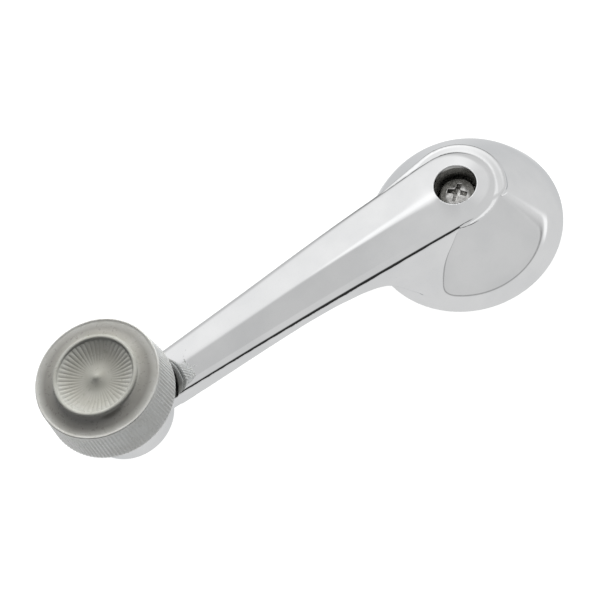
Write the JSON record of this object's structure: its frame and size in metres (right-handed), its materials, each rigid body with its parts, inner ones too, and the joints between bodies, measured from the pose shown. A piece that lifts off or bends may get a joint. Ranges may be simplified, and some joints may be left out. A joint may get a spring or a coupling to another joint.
{
  "type": "window crank handle",
  "caption": "Chromed car window crank: an arm on a domed round hub with a recessed cross-head screw, and a free-turning translucent knurled grip knob.",
  "frame": {"origin": "on the regulator shaft's axis, in the plane of the hub's base, at the mouth of the shaft socket", "axes": "+Z along the shaft axis, away from the door and into the cabin; +X from the hub towards the knob"},
  "size_m": [0.1448, 0.052, 0.0302],
  "materials": {
    "chrome": "polished chrome plate on zinc",
    "socket_steel": "phosphated steel",
    "bearing_bronze": "plain sintered bronze",
    "spring_steel": "spring steel",
    "fibre": "vulcanised fibre",
    "black_washer": "matte",
    "screw_zinc": "bright zinc plate",
    "knob_plastic": "frosted translucent grey acrylic",
    "core_metal": "turned",
    "stud_steel": "turned and peened",
    "keeper": "browned steel"
  },
  "bodies": {
    "crank": {"crank_casting": "chrome", "shaft_bush": "socket_steel", "stud_bush": "bearing_bronze", "spring_washer": "spring_steel", "fibre_washer": "fibre", "neck_washer": "black_washer"},
    "knob": {"knob_cap": "knob_plastic", "knob_back": "knob_plastic", "knob_core": "core_metal", "knob_stud": "stud_steel", "keeper_washer": "keeper"},
    "screw": {"retaining_screw": "screw_zinc", "lock_washer": "spring_steel"}
  },
  "joints": [
    {"name": "knob_spin", "type": "hinge", "parent": "crank", "child": "knob", "pos_m": [0.1018, 0, 0], "axis": [0, 0, 1], "continuous": true},
    {"name": "screw_turn", "type": "hinge", "parent": "crank", "child": "screw", "pos_m": [0, 0, 0], "axis": [0, 0, 1], "continuous": true}
  ]
}
